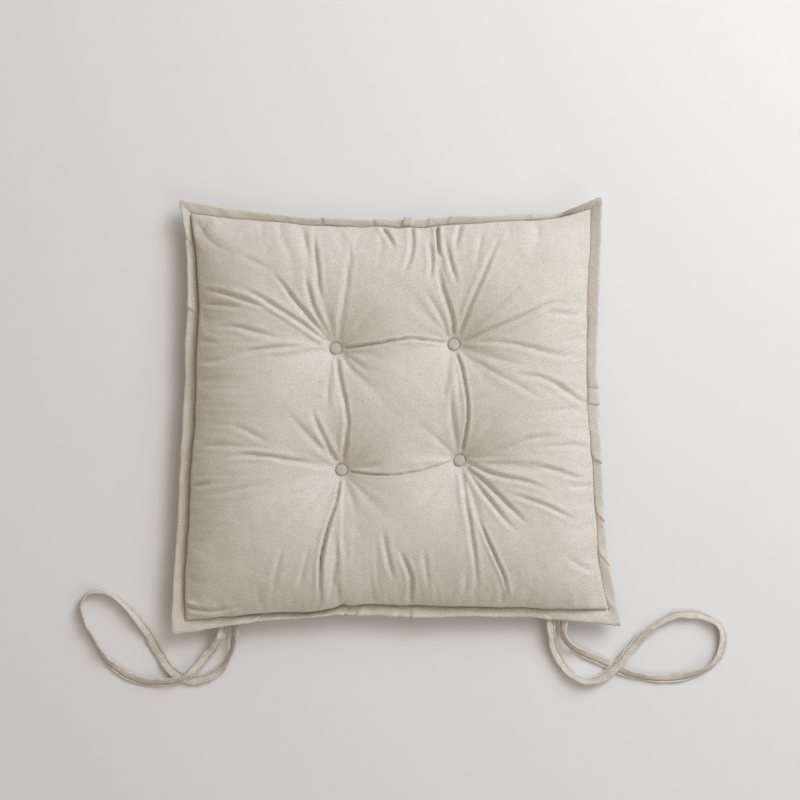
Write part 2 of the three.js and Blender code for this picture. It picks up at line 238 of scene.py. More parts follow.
# The shares of a crease's length over which it fades in and out.
HELD, TIED, FREE = (0.04, 0.04), (0.05, 0.4), (0.35, 0.35)
CREASES = [
    # between the buttons
    (DEEP, HELD, [(-48, 62), (-30, 64), (-10, 67), (8, 70), (25, 69.5), (46, 66.5)]),
    (THIN, HELD, [(-43, -51.5), (-20, -54), (0, -53.5), (20, -51), (35, -47), (51, -42)]),
    (SOFT, FREE, [(-36, -48), (-24, -46.5), (-10, -44)]),
    (DEEP, HELD, [(55, 58), (60, 45), (63, 30), (65.5, 15), (66, 0), (64, -15), (61, -33)]),
    (SOFT, FREE, [(50, 22), (51, 6), (53, -14), (56, -31)]),
    (STRONG, HELD, [(-54.5, 54), (-53, 40), (-50, 25), (-46.5, 10), (-45, -4), (-46.5, -20), (-49, -42)]),
    (STRONG, TIED, [(-55, -43), (-63, -28), (-69, -16), (-75, -2), (-78, 10)]),
    (SOFT, TIED, [(-58, -38), (-68, -29), (-80, -18), (-92, -5), (-103, 8)]),
    (SOFT, FREE, [(-60, 40), (-63, 22), (-62, 4)]),
    # from the front left button
    (STRONG, TIED, [(-62, 66), (-80, 80), (-100, 93), (-118, 104.5), (-135, 114), (-149, 120)]),
    (RIDGE, TIED, [(-64, 65), (-82, 76), (-100, 88), (-118, 99), (-135, 109), (-152, 117)]),
    (STRONG, FREE, [(-112, 98), (-124, 101), (-140, 106), (-158, 112), (-182, 117)]),
    (MIDDLE, FREE, [(-138, 99), (-152, 100.5), (-166, 102.5), (-183, 103)]),
    (STRONG, TIED, [(-61, 68), (-78, 88), (-92, 104), (-104, 120), (-117, 134)]),
    (STRONG, TIED, [(-60, 71), (-70, 88), (-77, 103), (-81, 118), (-84, 138)]),
    (STRONG, FREE, [(-66, 100), (-71, 118), (-72.5, 135), (-74, 150), (-77, 170)]),
    (SOFT, TIED, [(-58, 72), (-62, 86), (-67, 103)]),
    (SOFT, FREE, [(-82, 148), (-84, 160), (-86, 174)]),
    (SOFT, TIED, [(-54, 71), (-51, 90), (-47, 110), (-44, 132), (-41, 158)]),
    (MIDDLE, FREE, [(-100, 70), (-114, 73), (-130, 77), (-148, 81.5), (-164, 82)]),
    (MIDDLE, FREE, [(-72, 64), (-86, 64), (-102, 62.5), (-118, 61), (-136, 58), (-152, 52)]),
    (SOFT, FREE, [(-152, 52), (-166, 50), (-184, 50)]),
    (SOFT, FREE, [(-160, 66), (-170, 67.5), (-184, 70)]),
    (SOFT, TIED, [(-49, 57), (-38, 49), (-28, 42), (-18, 37)]),
    (SOFT, TIED, [(-51, 55), (-43, 43), (-35, 32)]),
    (BROAD, FREE, [(-188, 186), (-180, 172), (-168, 158), (-146, 146)]),
    (SOFT, FREE, [(-148, 150), (-130, 140), (-112, 132)]),
    # from the front right button
    (BOLD, TIED, [(38, 178), (38.3, 166), (39, 153), (40, 142)]),
    (STRONG, FREE, [(29, 164), (31.5, 150), (32, 138), (30, 122)]),
    (STRONG, TIED, [(53.5, 73), (51, 90), (46, 106), (41, 122), (38, 142)]),
    (STRONG, FREE, [(45, 166), (48, 150), (52, 134), (58, 116)]),
    (STRONG, TIED, [(14, 177), (15, 162), (13, 146), (5, 126)]),
    (STRONG, TIED, [(-15, 178), (-8, 167), (0, 151)]),
    (MIDDLE, TIED, [(60, 178), (57, 166), (55, 152)]),
    (SOFT, FREE, [(80, 172), (77, 156), (73, 134)]),
    (STRONG, TIED, [(57, 73), (66, 97), (76, 120), (86, 143), (98, 172)]),
    (SOFT, TIED, [(59, 71), (80, 90), (100, 107), (116, 124), (126, 144)]),
    (STRONG, TIED, [(60, 67), (80, 75.5), (100, 84), (120, 92.5), (135, 100), (148, 103.5), (164, 99)]),
    (SOFT, FREE, [(134, 94), (156, 93), (176, 93)]),
    (SOFT, FREE, [(66, 64), (84, 67), (105, 66), (125, 61), (145, 56), (170, 52)]),
    (SOFT, TIED, [(60, 62.5), (80, 55), (98, 50), (122, 45)]),
    (SOFT, TIED, [(58, 60), (75, 49), (90, 39), (106, 31), (125, 20), (146, 10)]),
    (MIDDLE, FREE, [(104, 38), (118, 36.5), (131, 35), (145, 29.5), (157, 22), (169, 15), (181, 8)]),
    (SOFT, FREE, [(138, 33), (150, 27), (162, 19), (172, 13), (183, 6)]),
    (SOFT, TIED, [(48, 71), (42, 88), (34, 102), (22, 118)]),
    # from the rear right button
    (STRONG, TIED, [(64, -43), (80, -50), (95, -55.5), (110, -58.5), (126, -63), (146, -71)]),
    (MIDDLE, FREE, [(126, -46), (136, -48), (148, -51), (160, -55), (177, -59)]),
    (STRONG, FREE, [(98, -69), (112, -74), (124, -78), (138, -83), (152, -90), (168, -97)]),
    (STRONG, TIED, [(64, -46), (80, -60), (93, -73), (107, -87), (124, -103)]),
    (STRONG, TIED, [(63, -47), (77, -67), (90, -84), (102, -98), (116, -111)]),
    (SOFT, TIED, [(61, -49), (68, -68), (74, -88), (80, -104)]),
    (DEEP, FREE, [(72, -86), (78, -101), (85, -116.5), (93, -134), (99.5, -150), (104, -174)]),
    (STRONG, TIED, [(60, -49), (63, -75), (66.5, -95), (69.5, -115), (73, -138), (76, -162)]),
    (SOFT, FREE, [(62, -166), (64, -154), (64, -142)]),
    (SOFT, FREE, [(84, -28), (100, -30), (118, -22), (136, -19), (156, -19)]),
    (SOFT, FREE, [(142, -31), (156, -27.5), (168, -27.5), (183, -32)]),
    (SOFT, FREE, [(152, -128), (166, -136), (186, -146)]),
    (SOFT, FREE, [(96, -176), (98, -164), (96, -150)]),
    (SOFT, FREE, [(186, -63), (172, -66), (156, -64)]),
    # from the rear left button
    (STRONG, FREE, [(-62, -48), (-80, -43.5), (-100, -40), (-118, -37), (-136, -36), (-160, -39)]),
    (SOFT, FREE, [(-138, -28), (-158, -26.5), (-180, -28)]),
    (SOFT, FREE, [(-112, -26), (-126, -19), (-140, -12), (-156, -7)]),
    (MIDDLE, FREE, [(-191, -66), (-182, -64), (-168, -61)]),
    (SOFT, FREE, [(-110, -60), (-128, -64), (-144, -67.5), (-160, -71), (-180, -74)]),
    (SOFT, TIED, [(-57, -54), (-80, -67), (-106, -77)]),
    (DEEP, TIED, [(-51, -57), (-55, -78), (-61, -96), (-66, -114), (-69.5, -132), (-70, -150), (-70, -176)]),
    (STRONG, FREE, [(-56, -82), (-61, -96), (-66, -114), (-69.5, -132), (-70, -150), (-70, -172)]),
    (SOFT, FREE, [(-78, -112), (-84, -136), (-91, -162)]),
    (SOFT, FREE, [(-102, -112), (-108, -136), (-114, -166)]),
    (SOFT, FREE, [(-53, -122), (-58, -148), (-62, -178)]),
    (RISE, FREE, [(-56, -96), (-51, -118), (-49, -140), (-50, -158), (-50, -180)]),
    (SOFT, TIED, [(-48, -57), (-40, -76), (-34, -94)]),
    (MIDDLE, FREE, [(-12, -100), (-9, -120), (-5, -139), (0, -156)]),
    (STRONG, FREE, [(1, -118), (7, -131), (12, -143), (14, -156), (12, -180)]),
    (SOFT, FREE, [(24, -118), (27, -136), (30, -158)]),
    (MIDDLE, TIED, [(-201, -174), (-188, -178), (-172, -180), (-156, -178), (-138, -176)]),
    (RIDGE, TIED, [(-201, -171), (-190, -174), (-178, -176)]),
]


def from_line(plan, line):
    """Distance from each point of a plan to a line, and where along the line that is, from 0 to 1."""
    path, length = even_path(np.array(line, float), 3)
    best = np.full(plan.shape[:-1], np.inf)
    along = np.zeros(plan.shape[:-1])
    run = 0
    for a, b in zip(path[:-1], path[1:]):
        step = b - a
        share = np.clip(((plan - a) @ step) / (step @ step), 0, 1)
        distance = np.linalg.norm(plan - a - share[..., None] * step, axis=-1)
        nearer = distance < best
        best = np.where(nearer, distance, best)
        along = np.where(nearer, (run + share * np.linalg.norm(step)) / length, along)
        run += np.linalg.norm(step)
    return best, along


def creased(plan):
    """Height of all the creases over a plan: each is a groove with a low bank on each side."""
    height = np.zeros(plan.shape[:-1])
    for (depth, width), fades, line in CREASES:
        distance, along = from_line(plan, line)
        x = distance / width
        groove = 0.55 * np.exp(-x ** 1.4) + 0.45 * np.exp(-2.2 * x)
        height += depth * faded(along, *fades) * (0.3 * bell(x, 2.1, 1.1) - groove)
    return height


def folded(values, sharpness):
    """Turns smooth noise into folds: round on top, and sharper at the bottom."""
    return np.sqrt(values ** 2 + sharpness ** 2)


def tuft_gaps(plan, tufts):
    """Distance from each tuft to every point of a plan."""
    return np.array([np.linalg.norm(plan - tuft[:2], axis=-1) for tuft in tufts])


# Folds round a tuft, in layers: how many, how far out they are highest, their sharpness and their share.
STAR_LAYERS = [(12, 38, 0.14, 1.0), (20, 24, 0.16, 0.5)]
STAR_SEEDS = [61, 72, 83, 94]


def star_folds(plan, tufts, strength):
    """Height of the folds that run out from every tuft, over a plan."""
    gaps = tuft_gaps(plan, tufts)
    share = np.exp(-gaps / 14)
    share /= share.sum(axis=0)
    height = np.zeros(plan.shape[:-1])
    for index, tuft in enumerate(tufts):
        rng = default_rng(STAR_SEEDS[index])
        away = plan - tuft[:2]
        distance = gaps[index]
        bend = (3 * np.sin(distance / 26 + index) + 1.2 * np.sin(distance / 11 + 2 * index)) / (distance + 20)
        turn = (np.arctan2(away[..., 1], away[..., 0]) + bend) / (2 * np.pi) % 1
        for count, reach, sharpness, part in STAR_LAYERS:
            ring = rng.uniform(0.4, 1, count) * np.where(np.arange(count) % 2, -1, 1)
            level = folded(spline(np.append(ring, ring[0]), turn), sharpness) - 0.5
            fade = smooth_step((distance - BUTTON_RADIUS) / 8)
            height += strength * part * level * swell(distance, reach) * fade * share[index]
    return height


EDGE_FOLDS = 24  # on each side
EDGE_SEEDS = [5, 6, 7, 8]


def edge_folds(n, strength):
    """Height of the short folds that run in from the seam, on an n by n field grid."""
    q = field_steps(n)
    s, t = np.meshgrid(q, q)
    height = np.zeros((n, n))
    for index, (along, inward) in enumerate(((s, t), (t, 1 - s), (s, 1 - t), (t, s))):
        rng = default_rng(EDGE_SEEDS[index])
        distance = inward * SPAN
        wander = 0.012 * np.sin(distance / 15 + 5 * along)
        level = folded(wavy(rng, EDGE_FOLDS, along + wander), 0.12) - 0.45
        reach = 16 + 10 * wavy(rng, 12, along)
        patch = 0.6 + 0.5 * wavy(rng, 9, along)
        height += strength * level * swell(distance, reach) * faded(along, 0.12, 0.12) * patch
    return height


# ---- Shapes of the two panels ----


def edge_distance(n):
    """About how far each point of a field grid is from the left or right seam, and the front or rear."""
    q = field_steps(n)
    s, t = np.meshgrid(np.minimum(q, 1 - q), np.minimum(q, 1 - q))
    return s * SPAN, t * SPAN


def seam_gap(n):
    """About how far each point of a field grid is from the nearest seam."""
    return np.minimum(*edge_distance(n))


def rounded_edge(distance):
    """The lower panel's rise from its seam, as a share of its fullness: a quarter of an ellipse."""
    return np.sqrt(1 - (1 - np.clip(distance / 62, 0, 1)) ** 2)


def full_edge(distance):
    """The upper panel's rise from its seam: a steep start, a shoulder, then a long gentle slope."""
    start = 0.34 * (1 - np.exp(-distance / 0.35))
    shoulder = 0.26 * (1 - np.exp(-distance / 22))
    return start + shoulder + 0.4 * (1 - (1 - np.clip(distance / 115, 0, 1)) ** 2)


def tuft_dip(plan, tufts, slope):
    """How far the panel is drawn to its tufts: 1 at a tuft, and 0 far from all of them."""
    each = np.exp(-np.maximum(0, tuft_gaps(plan, tufts) - BUTTON_RADIUS - 1) / slope)
    return 1 - np.prod(1 - each, axis=0)


def base_field(n, tufts, crown, profile, slope):
    """The panel before it is simulated: a roll along each seam, and a dip at each tuft."""
    plan = field_plan(n)
    across, down = edge_distance(n)
    filled = profile(across) * profile(down)
    seat = tufts[:, 2].mean() + (WELL if crown > FLANGE_Z else -WELL)
    dip = tuft_dip(plan, tufts, slope)
    z = FLANGE_Z + (crown - FLANGE_Z) * filled * (1 - (crown - seat) / (crown - FLANGE_Z) * dip)
    return np.dstack([plan, z])


CLOTH_SCALE = 10  # the solver's forces suit cloth of some metres, so it works on an enlarged copy
CLOTH_SETTINGS = {"quality": 6, "mass": 0.08, "tension_stiffness": 30, "compression_stiffness": 30,
                  "shear_stiffness": 30, "bending_stiffness": 0.6, "use_pressure": True, "shrink_min": -0.06,
                  "shrink_max": 0}


def linked(obj):
    bpy.context.scene.collection.objects.link(obj)
    return obj


def simulated(field, tufts, slack, pressure, frames):
    """The panel as cloth: held at its seam and tufts, a little too large, and blown up from inside."""
    n = len(field)
    start = field * MM * CLOTH_SCALE
    mesh = bpy.data.meshes.new("cloth")
    mesh.from_pydata(start.reshape(-1, 3).tolist(), [], grid_faces(n).tolist())
    cloth = linked(bpy.data.objects.new("cloth", mesh))
    held = cloth.vertex_groups.new(name="held")
    at_tuft = tuft_gaps(field[..., :2], tufts).min(axis=0) < BUTTON_RADIUS
    pinned = (seam_gap(n) < AT_SEAM) | at_tuft
    held.add([int(i) for i in np.flatnonzero(pinned.reshape(-1))], 1, "REPLACE")
    tight = cloth.vertex_groups.new(name="tight")
    for i, weight in enumerate(slack.reshape(-1)):
        tight.add([i], float(weight), "REPLACE")
    modifier = cloth.modifiers.new("cloth", "CLOTH")
    settings = modifier.settings
    for key, value in CLOTH_SETTINGS.items():
        setattr(settings, key, value)
    settings.uniform_pressure_force = pressure
    settings.vertex_group_mass = "held"
    settings.vertex_group_shrink = "tight"
    settings.effector_weights.gravity = 0
    modifier.collision_settings.use_collision = False
    modifier.point_cache.frame_end = frames
    for step in range(1, frames + 1):
        bpy.context.scene.frame_set(step)
    shown = cloth.evaluated_get(bpy.context.evaluated_depsgraph_get())
    result = np.zeros(n * n * 3)
    shown.data.vertices.foreach_get("co", result)
    bpy.data.objects.remove(cloth)
    bpy.context.scene.frame_set(1)
    return result.reshape(n, n, 3) / MM / CLOTH_SCALE


# ---- Meshes ----


def grid_faces(n, start=0):
    """Faces of an n by n grid of vertices, anticlockwise from above."""
    i, j = np.meshgrid(np.arange(n - 1), np.arange(n - 1))
    a = (j * n + i).reshape(-1) + start
    return np.column_stack([a, a + 1, a + n + 1, a + n])


def strip_faces(a, b):
    """Faces between two closed loops of vertex numbers, a inside and b outside, seen from above."""
    return np.column_stack([a, b, np.roll(b, -1), np.roll(a, -1)])


def add_object(name, points, faces, uv=None):
    mesh = bpy.data.meshes.new(name)
    mesh.from_pydata((np.asarray(points) * MM).tolist(), [], [list(map(int, f)) for f in faces])
    if uv is not None:
        layer = mesh.uv_layers.new(name="cloth")
        corners = np.zeros(len(mesh.loops), np.int32)
        mesh.loops.foreach_get("vertex_index", corners)
        layer.data.foreach_set("uv", (np.asarray(uv) * MM)[corners].astype(np.float32).reshape(-1))
    mesh.shade_smooth()
    return linked(bpy.data.objects.new(name, mesh))


def finish_piece(obj, material, slot, *replaced):
    obj.data.materials.append(material)
    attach(obj, "root")
    if replaced:
        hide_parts(*replaced)
    return obj


# ---- Materials ----


class Shader:
    """A short way to write a material's nodes."""

    def __init__(self, name, surface):
        self.material = bpy.data.materials.new(name)
        self.material.use_nodes = True
        self.tree = self.material.node_tree
        self.surface = self.tree.nodes["Principled BSDF"]
        self.feed(self.surface, surface)

    def feed(self, node, inputs):
        """Links or sets inputs of a node."""
        for key, value in inputs.items():
            if isinstance(value, bpy.types.NodeSocket):
                self.tree.links.new(value, node.inputs[key])
            else:
                node.inputs[key].default_value = value

    def node(self, kind, inputs=None, **settings):
        made = self.tree.nodes.new(kind)
        for key, value in settings.items():
            setattr(made, key, value)
        self.feed(made, inputs or {})
        return made

    def math(self, operation, a, b=0.0, c=0.0):
        return self.node("ShaderNodeMath", {0: a, 1: b, 2: c}, operation=operation).outputs[0]

    def total(self, first, *others):
        for other in others:
            first = self.math("ADD", first, other)
        return first

    def noise(self, vector, scale, detail=2.0, roughness=0.5):
        inputs = {"Vector": vector, "Scale": scale, "Detail": detail, "Roughness": roughness}
        return self.node("ShaderNodeTexNoise", inputs).outputs["Fac"]

    def wave(self, vector, scale, distortion=0.0, angle=0.0):
        """Even bands, from 0 to 1, so many to the metre, at an angle in the cloth's plane."""
        turn = {"Vector": vector, "Angle": angle}
        turned = self.node("ShaderNodeVectorRotate", turn, rotation_type="Z_AXIS").outputs[0]
        inputs = {"Vector": turned, "Scale": scale * np.pi / 10, "Distortion": distortion, "Detail": 0.0}
        return self.node("ShaderNodeTexWave", inputs, wave_profile="SIN").outputs["Fac"]

    def mix(self, factor, a, b):
        """From colour a to colour b."""
        inputs = {0: factor, 6: (*a, 1), 7: (*b, 1)}
        return self.node("ShaderNodeMix", inputs, data_type="RGBA").outputs[2]

    def scale(self, value, low, high):
        """A value from 0 to 1 mapped on to low to high."""
        inputs = {"Value": value, "To Min": low, "To Max": high}
        return self.node("ShaderNodeMapRange", inputs).outputs[0]

    def bump(self, height, distance, strength, **more):
        inputs = {"Height": height, "Distance": distance, "Strength": strength}
        return self.node("ShaderNodeBump", inputs | more).outputs[0]

    def finish(self, color, normal):
        self.feed(self.surface, {"Base Color": color, "Normal": normal})
        return self.material


def cover_fabric(name, light, dark, weave=1.4, mottle=0.7):
    """Brushed fabric: a fine diagonal lattice of threads under a short, uneven nap."""
    surface = {"Roughness": 0.92, "Sheen Weight": 0.35, "Sheen Roughness": 0.45, "Specular IOR Level": 0.25}
    made = Shader(name, surface)
    cloth = made.node("ShaderNodeUVMap", uv_map="cloth").outputs[0]
    waver = {"Vector": cloth, "Scale": 160.0, "Detail": 1.0}
    wander = made.node("ShaderNodeTexNoise", waver).outputs["Color"]
    shift = made.node("ShaderNodeVectorMath", {0: wander, 1: (0.0006,) * 3}, operation="MULTIPLY").outputs[0]
    thread = made.node("ShaderNodeVectorMath", {0: cloth, 1: shift}, operation="ADD").outputs[0]
    lattice = made.math("ADD", made.wave(thread, 610, angle=0.8), made.wave(thread, 610, angle=-0.72))
    lattice = made.math("MULTIPLY", lattice, 0.5)
    grain = made.noise(cloth, 620.0, 3.0, 0.75)
    patches = made.noise(cloth, 34.0, 3.0, 0.6)
    brushed = made.noise(cloth, 150.0, 3.0, 0.6)
    body = made.total(made.scale(lattice, -weave, weave), made.scale(grain, -3.4, 3.4),
                      made.scale(brushed, -mottle, mottle), made.scale(patches, -0.55, 0.55))
    color = made.mix(made.math("MULTIPLY_ADD", body, 0.5, 0.5), dark, light)
    height = made.total(made.scale(lattice, 0, 0.6), made.scale(grain, 0, 0.5), made.scale(brushed, 0, 0.5))
    return made.finish(color, made.bump(height, 0.00035, 0.5))


def thread_material(name, light, dark):
    """Twisted thread: fine slanting strands."""
    made = Shader(name, {"Roughness": 0.7, "Sheen Weight": 0.2})
    place = made.node("ShaderNodeTexCoord").outputs["Object"]
    strands = made.wave(place, 1500, 0.4, 0.6)
    fuzz = made.noise(place, 1800.0, 2.0)
    color = made.mix(made.math("MULTIPLY", strands, fuzz), dark, light)
    return made.finish(color, made.bump(strands, 0.0001, 0.6))


def fibre_material():
    """Loose white fibre: tangled strands and soft clumps."""
    made = Shader("loose_fibre", {"Roughness": 1.0, "Sheen Weight": 0.5})
    place = made.node("ShaderNodeTexCoord").outputs["Object"]
    clumps = made.noise(place, 45.0, 4.0, 0.6)
    strands = made.wave(place, 900, 14.0)
    color = made.mix(made.math("MULTIPLY", clumps, strands), (0.72, 0.71, 0.68), (0.9, 0.89, 0.87))
    return made.finish(color, made.bump(strands, 0.0008, 0.5, Normal=made.bump(clumps, 0.004, 0.6)))


def metal_material(name, color, roughness):
    """Pressed sheet: faint rolling lines and small scuffs."""
    made = Shader(name, {"Metallic": 1.0})
    place = made.node("ShaderNodeTexCoord").outputs["Object"]
    lines = made.wave(place, 2400, 1.5)
    scuffs = made.noise(place, 700.0, 4.0, 0.7)
    darker = tuple(0.7 * c for c in color)
    tone = made.mix(made.math("MULTIPLY", lines, scuffs), color, darker)
    made.feed(made.surface, {"Roughness": made.scale(scuffs, roughness - 0.1, roughness + 0.15)})
    return made.finish(tone, made.bump(lines, 0.00003, 0.4))


COVER = cover_fabric("brushed_cover", (0.71, 0.665, 0.61), (0.5, 0.452, 0.393))
STRAP = cover_fabric("brushed_strap", (0.71, 0.66, 0.595), (0.46, 0.412, 0.35), 0.8, 1.1)
# The buttons' cloth is the cover's fabric painted darker: painted shade, for the shade in the well round each
# button.
SHADED_BUTTON_CLOTH = cover_fabric("button_cloth_painted_shade", (0.58, 0.55, 0.5), (0.42, 0.385, 0.335))
# The sewing thread is darker than its own tone: partly the thread's colour, partly painted shade that deepens
# the dark lines in the seam's and the straps' grooves.
THREAD = thread_material("sewing_thread_and_groove_shade", (0.46, 0.4, 0.325), (0.28, 0.24, 0.185))
TWINE = thread_material("tufting_twine", (0.62, 0.57, 0.48), (0.34, 0.3, 0.24))
FIBRE = fibre_material()
CAP_METAL = metal_material("pressed_aluminium", (0.76, 0.77, 0.78), 0.4)
BACK_METAL = metal_material("tinned_steel", (0.62, 0.63, 0.64), 0.35)

# ---- Camera ----

LENS = 85
SENSOR = 36
VIEW_WIDTH = 744 * MM  # the width of the floor in view, at the flange's height
VIEW_CENTRE = (3.7, 14.4)

camera_data = bpy.data.cameras.new("camera")
camera_data.lens = LENS
camera_data.sensor_width = SENSOR
camera = linked(bpy.data.objects.new("camera", camera_data))
camera.location = (VIEW_CENTRE[0] * MM, VIEW_CENTRE[1] * MM, FLANGE_Z * MM + VIEW_WIDTH * LENS / SENSOR)
bpy.context.scene.camera = camera

# ---- Tie loops ----

STRAP_WIDTH = 9
STRAP_THICKNESS = 2.2
# Heights of a strap's middle: sewn under the flange, laid on the table and crossing over itself.
SEWN = FLANGE_Z - 2.45
LAID = 1.15
OVER = 3.95

# x, y and height of the strap's middle, and how many degrees the strap leans from flat to on edge.
LEFT_ROUTE = [
    (-161.5, -189.8, SEWN, 8), (-161.5, -197, SEWN, 24), (-163, -204.5, 9.6, 46), (-168, -213.5, 6.2, 24),
    (-176.5, -224.5, 4.4, 8), (-185.5, -235, OVER, 14), (-194, -243, OVER, 38), (-205, -247.8, OVER, 46),
    (-219.5, -249.6, 2.4, 40), (-235, -249, LAID, 26), (-249, -244.4, LAID, 12),
    (-262.5, -236.2, LAID, 20), (-273.5, -225, LAID, 44), (-283, -210, LAID, 62),
    (-290.5, -194.6, LAID, 70), (-294.5, -180.5, LAID, 74), (-292.5, -170.5, LAID, 80),
    (-284.5, -165.8, LAID, 86), (-271, -167, LAID, 82), (-255.6, -175.4, LAID, 70),
    (-241.8, -190.5, LAID, 44), (-231.9, -205.3, LAID, 16), (-222.6, -221.5, LAID, 8),
    (-212.5, -236, LAID, 16), (-202.2, -244.6, LAID, 14), (-190.3, -248, LAID, 6),
    (-177.5, -245.6, LAID, 14), (-165, -238, LAID, 34), (-157, -227.5, 1.8, 58), (-152.6, -217, 4, 62),
    (-150.4, -206, 8.6, 48), (-150.4, -196.6, SEWN, 24), (-150.4, -189.6, SEWN, 8),
]
RIGHT_ROUTE = [
    (144.2, -183.4, SEWN, 6), (144.2, -190.6, SEWN, 16), (144.4, -199, 9.4, 32), (146.4, -213, 5, 26),
    (152, -227, 2.2, 30), (161.4, -240.5, LAID, 38), (173.6, -247.6, LAID, 60), (184.4, -248, LAID, 60),
    (195, -243.6, LAID, 34), (204.6, -235.8, 2.2, 12), (211.5, -228.4, OVER, 4), (219, -219.5, OVER, 4),
    (228, -208.8, 2.2, 20), (237.2, -199.4, LAID, 54), (249.1, -191.8, LAID, 64), (262, -187, LAID, 40),
    (276.6, -185.9, LAID, 30), (290.3, -188.9, LAID, 48), (300.4, -195.4, LAID, 66),
    (305.4, -205.6, LAID, 34), (304.6, -218.4, LAID, 26), (298.4, -230.8, LAID, 58),
    (285.5, -239.6, LAID, 46), (267.8, -244.4, LAID, 16), (249.1, -246.2, LAID, 20),
    (232.5, -245, LAID, 40), (218, -241.4, LAID, 24), (204, -235.2, LAID, 4), (188.4, -228.4, LAID, 12),
    (173, -221.6, 1.6, 36), (161.4, -213.6, 4.2, 58), (156, -203, 8, 52), (155.4, -191.4, SEWN, 24),
    (155.4, -184.2, SEWN, 8),
]

# The upper half of the folded strap's section: from its fold, past the groove that its stitches are in, to
# its sewn edge, where a gap parts the two layers.
STRAP_SECTION = [(4.5, 0), (4.38, 0.55), (3.9, 0.95), (2.6, 1.15), (0.6, 1.15), (-0.9, 1.1), (-1.4, 0.85),
                 (-1.65, 0.35), (-2.15, 0.1), (-2.65, 0.35), (-3.0, 0.85), (-3.4, 1.05), (-4.0, 0.95),
                 (-4.4, 0.62), (-4.5, 0.2), (-3.8, 0.03)]
STITCH_PLACE = (-2.15, 0.34)  # across the strap and up from its middle
STRAP_STEP = 1.0
STRAP_FLOOR = 0.03  # the lowest that a strap lies
STITCH_SPACING = 3.1
FLANGE_STITCH_SPACING = 3.2
# A stitch's length and its thread's radius.
STRAP_STITCH = (2.3, 0.26)
FLANGE_STITCH = (2.5, 0.3)


def route_frames(route, step):
    """Points along a route, with the directions of the strap's length, width and thickness at each."""
    rows, length = even_path(np.array(route, float), step)
    rng = default_rng(21)
    t = np.linspace(0, 1, len(rows))
    points = rows[:, :3]
    lean = np.radians(rows[:, 3] + 9 * wavy(rng, 34, t))
    ahead = unit(np.gradient(points, axis=0))
    level = unit(np.cross(ahead, (0, 0, 1)))
    points += 0.45 * wavy(rng, 46, t)[:, None] * level
    upward = np.cross(level, ahead)
    across = level * np.cos(lean)[:, None] + upward * np.sin(lean)[:, None]
    through = upward * np.cos(lean)[:, None] - level * np.sin(lean)[:, None]
    lift = STRAP_WIDTH / 2 * np.abs(np.sin(lean)) + STRAP_THICKNESS / 2 * (np.cos(lean) - 1)
    points[:, 2] += np.maximum(lift, 0) * smooth_step((SEWN - points[:, 2]) / 3)
    return points, ahead, across, through, length


def strap_mesh(name, frames, seed):
    points, _, across, through, length = frames
    upper = np.array(STRAP_SECTION)
    lower = upper[-2:0:-1] * (1, -1)
    section = np.concatenate([upper, lower])
    count, sides = len(points), len(section)
    t = np.linspace(0, 1, count)
    rng = default_rng(seed)
    side = section[:, 0][None, :] / (STRAP_WIDTH / 2)
    wide = 1 + 0.1 * wavy(rng, 60, t)[:, None]
    thick = 1 + 0.24 * wavy(rng, 90, t)[:, None]
    fold_wave = wavy(rng, 90, t)[:, None]
    sewn_wave = wavy(rng, 90, t)[:, None]
    edge_wave = np.where(side > 0, fold_wave, sewn_wave) * side ** 2
    pulled = np.cos(np.arange(count) * STRAP_STEP / STITCH_SPACING * 2 * np.pi)[:, None]
    puckers = 0.14 * pulled * bell(side, -0.5, 0.3)
    w = section[:, 0][None, :] * wide + 0.35 * edge_wave
    h = section[:, 1][None, :] * (thick + puckers) + 0.5 * edge_wave
    rings = points[:, None, :] + w[..., None] * across[:, None, :] + h[..., None] * through[:, None, :]
    rings[..., 2] = np.maximum(rings[..., 2], STRAP_FLOOR)
    start = np.arange(count - 1)[:, None] * sides
    i = np.arange(sides)[None, :]
    j = (i + 1) % sides
    faces = np.stack([start + i, start + j, start + sides + j, start + sides + i], -1).reshape(-1, 4).tolist()
    faces += [list(range(sides - 1, -1, -1)), list(range((count - 1) * sides, count * sides))]
    around_section = np.cumsum(np.linalg.norm(np.diff(section, axis=0, prepend=section[:1]), axis=1))
    run = t * length
    uv = np.stack(np.broadcast_arrays(run[:, None], around_section[None, :]), -1).reshape(-1, 2)
    return add_object(name, rings.reshape(-1, 3), faces, uv)


# One stitch: along its length, its thickness and how far it sinks, as shares.
STITCH_RINGS = [(-1.0, 0.35, -0.9), (-0.72, 0.85, -0.25), (-0.3, 1.0, 0.0), (0.3, 1.0, 0.0),
                (0.72, 0.85, -0.25), (1.0, 0.35, -0.9)]
STITCH_SIDES = 6


def stitches(name, centres, along, upward, length, radius):
    """A row of separate stitches, each a short sunken tube, as one mesh."""
    sideways = np.cross(along, upward)
    turn = np.arange(STITCH_SIDES) / STITCH_SIDES * 2 * np.pi
    points, faces = [], []
    for k, (c, a, u, s) in enumerate(zip(centres, along, upward, sideways)):
        base = k * len(STITCH_RINGS) * STITCH_SIDES
        for reach, size, sink in STITCH_RINGS:
            middle = c + a * reach * length / 2 + u * sink * radius
            points.append(middle + radius * size * (np.cos(turn)[:, None] * s + np.sin(turn)[:, None] * u))
        for r in range(len(STITCH_RINGS) - 1):
            for i in range(STITCH_SIDES):
                j = (i + 1) % STITCH_SIDES
                low = base + r * STITCH_SIDES
                faces.append((low + j, low + i, low + STITCH_SIDES + i, low + STITCH_SIDES + j))
        end = base + (len(STITCH_RINGS) - 1) * STITCH_SIDES
        faces.append(tuple(base + i for i in range(STITCH_SIDES)))
        faces.append(tuple(end + i for i in range(STITCH_SIDES - 1, -1, -1)))
    return add_object(name, np.concatenate(points), faces)


